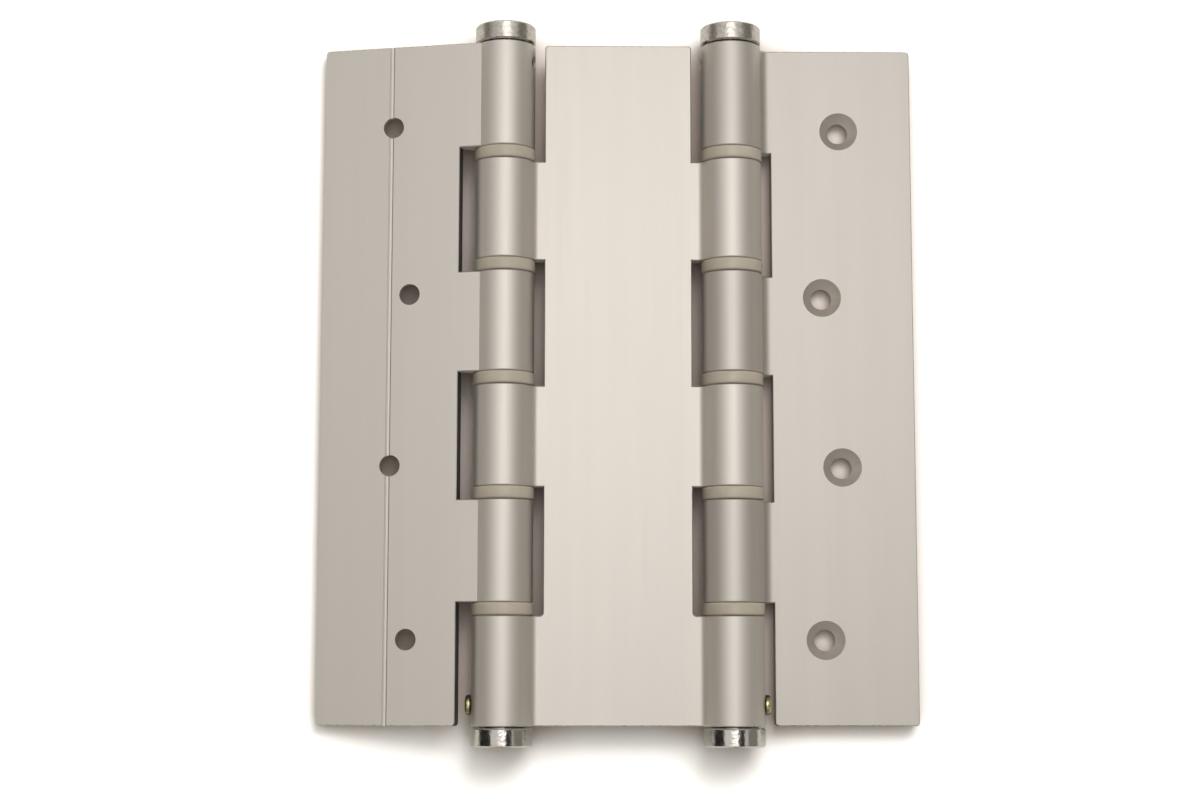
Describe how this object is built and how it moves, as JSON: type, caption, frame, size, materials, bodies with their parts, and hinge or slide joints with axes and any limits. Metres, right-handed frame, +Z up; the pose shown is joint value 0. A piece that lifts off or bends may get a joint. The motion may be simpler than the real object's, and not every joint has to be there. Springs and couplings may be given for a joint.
{
  "type": "double action spring hinge",
  "caption": "Double action spring hinge lying open: three aluminium leaves on two sprung barrels, with nylon bushes and chrome end plugs.",
  "frame": {"origin": "on the surface that the hinge lies on, under the middle of its overall box", "axes": "+Y along both barrels towards the tension plugs, +X across the leaves from the frame leaf to the door leaf, +Z up out of the surface, the side that the picture shows"},
  "size_m": [0.1572, 0.1906, 0.0163],
  "materials": {
    "anodised_aluminium": "satin anodised",
    "nylon": "natural nylon, slightly translucent",
    "chrome": "polished chrome plate",
    "yellow_zinc": "yellow zinc plate",
    "blackened_steel": "black oxide",
    "spring_steel": "oiled spring steel"
  },
  "bodies": {
    "centre": {"centre_leaf": "anodised_aluminium", "frame_anchor_plug": "chrome", "frame_lock_screw": "yellow_zinc", "frame_spring": "spring_steel", "door_anchor_plug": "chrome", "door_lock_screw": "yellow_zinc", "door_spring": "spring_steel"},
    "frame_side": {"frame_leaf": "anodised_aluminium", "frame_bush_1": "nylon", "frame_bush_2": "nylon", "frame_bush_3": "nylon", "frame_bush_4": "nylon", "frame_bush_5": "nylon", "frame_tension_plug": "chrome", "frame_grub_screw": "blackened_steel"},
    "door_side": {"door_leaf": "anodised_aluminium", "door_bush_1": "nylon", "door_bush_2": "nylon", "door_bush_3": "nylon", "door_bush_4": "nylon", "door_bush_5": "nylon", "door_tension_plug": "chrome", "door_grub_screw": "blackened_steel"}
  },
  "joints": [
    {"name": "frame_swing", "type": "hinge", "parent": "centre", "child": "frame_side", "pos_m": [-0.03004, 0, 0.00815], "axis": [0, -1, 0], "range_deg": [-12.76, 167.25], "stiffness_Nm_per_rad": 0.33, "deforming": ["frame_spring"]},
    {"name": "door_swing", "type": "hinge", "parent": "centre", "child": "door_side", "pos_m": [0.03016, 0, 0.00815], "axis": [0, -1, 0], "range_deg": [0, 180], "stiffness_Nm_per_rad": 0.33, "deforming": ["door_spring"]}
  ]
}
